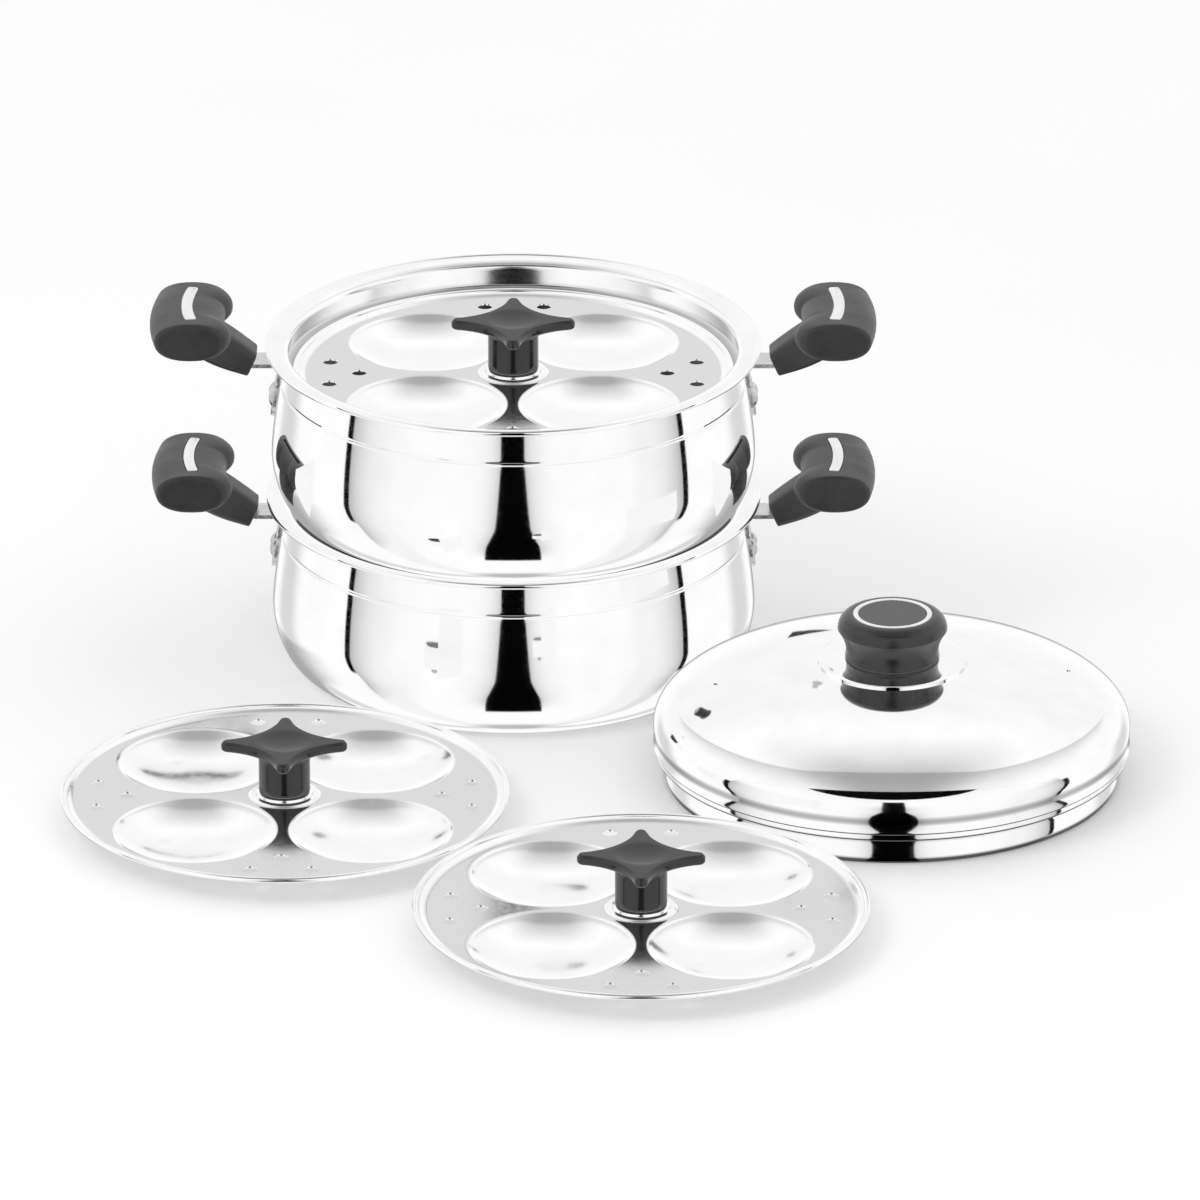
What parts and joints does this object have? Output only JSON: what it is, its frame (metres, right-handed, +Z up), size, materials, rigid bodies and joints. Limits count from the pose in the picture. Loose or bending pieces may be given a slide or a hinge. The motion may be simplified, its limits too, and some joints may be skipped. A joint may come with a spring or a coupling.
{
  "type": "idli steamer",
  "caption": "Stacked stainless steel steaming pots with side handles, idli plates with star knobs and a domed lid.",
  "frame": {"origin": "centre of the lower pot's flat base, on the floor", "axes": "+Z up, handles along X, the loose plates and the lid lie towards -Y"},
  "size_m": [0.4949, 0.5485, 0.1774],
  "materials": {
    "pot_steel": "mirror-polished stainless steel",
    "plate_steel": "bright pressed stainless steel",
    "lid_steel": "mirror-polished stainless steel",
    "inlay_steel": "satin steel",
    "bracket_steel": "satin steel strip",
    "fastener_steel": "plain steel",
    "handle_phenolic": "satin moulded phenolic",
    "knob_phenolic": "satin moulded phenolic"
  },
  "bodies": {
    "lower_pot_body": {"lower_pot": "pot_steel", "lower_rivets": "fastener_steel", "lower_handle_screws": "fastener_steel", "lower_left_bracket": "bracket_steel", "lower_left_grip": "handle_phenolic", "lower_left_inlay": "inlay_steel", "lower_right_bracket": "bracket_steel", "lower_right_grip": "handle_phenolic", "lower_right_inlay": "inlay_steel"},
    "upper_pot_body": {"upper_pot": "pot_steel", "upper_rivets": "fastener_steel", "upper_handle_screws": "fastener_steel", "upper_left_bracket": "bracket_steel", "upper_left_grip": "handle_phenolic", "upper_left_inlay": "inlay_steel", "upper_right_bracket": "bracket_steel", "upper_right_grip": "handle_phenolic", "upper_right_inlay": "inlay_steel"},
    "upper_plate_body": {"upper_plate": "plate_steel", "upper_plate_knob": "knob_phenolic", "upper_plate_washer": "fastener_steel", "upper_plate_screw": "fastener_steel"},
    "left_plate_body": {"left_plate": "plate_steel", "left_plate_knob": "knob_phenolic", "left_plate_washer": "fastener_steel", "left_plate_screw": "fastener_steel"},
    "front_plate_body": {"front_plate": "plate_steel", "front_plate_knob": "knob_phenolic", "front_plate_washer": "fastener_steel", "front_plate_screw": "fastener_steel"},
    "lid_body": {"lid": "lid_steel", "lid_flange": "lid_steel", "lid_knob": "knob_phenolic", "lid_knob_ring": "inlay_steel", "lid_washer": "fastener_steel", "lid_screw": "fastener_steel"}
  },
  "joints": [
    {"name": "upper_pot_lift", "type": "slide", "parent": "lower_pot_body", "child": "upper_pot_body", "axis": [0, 0, 1], "range_m": [0, 0.12]},
    {"name": "upper_plate_lift", "type": "slide", "parent": "upper_pot_body", "child": "upper_plate_body", "axis": [0, 0, 1], "range_m": [0, 0.1]},
    {"name": "left_plate_lift", "type": "slide", "parent": "lower_pot_body", "child": "left_plate_body", "axis": [0, 0, 1], "range_m": [0, 0.12]},
    {"name": "front_plate_lift", "type": "slide", "parent": "lower_pot_body", "child": "front_plate_body", "axis": [0, 0, 1], "range_m": [0, 0.12]},
    {"name": "lid_lift", "type": "slide", "parent": "lower_pot_body", "child": "lid_body", "axis": [0, 0, 1], "range_m": [0, 0.14]}
  ]
}
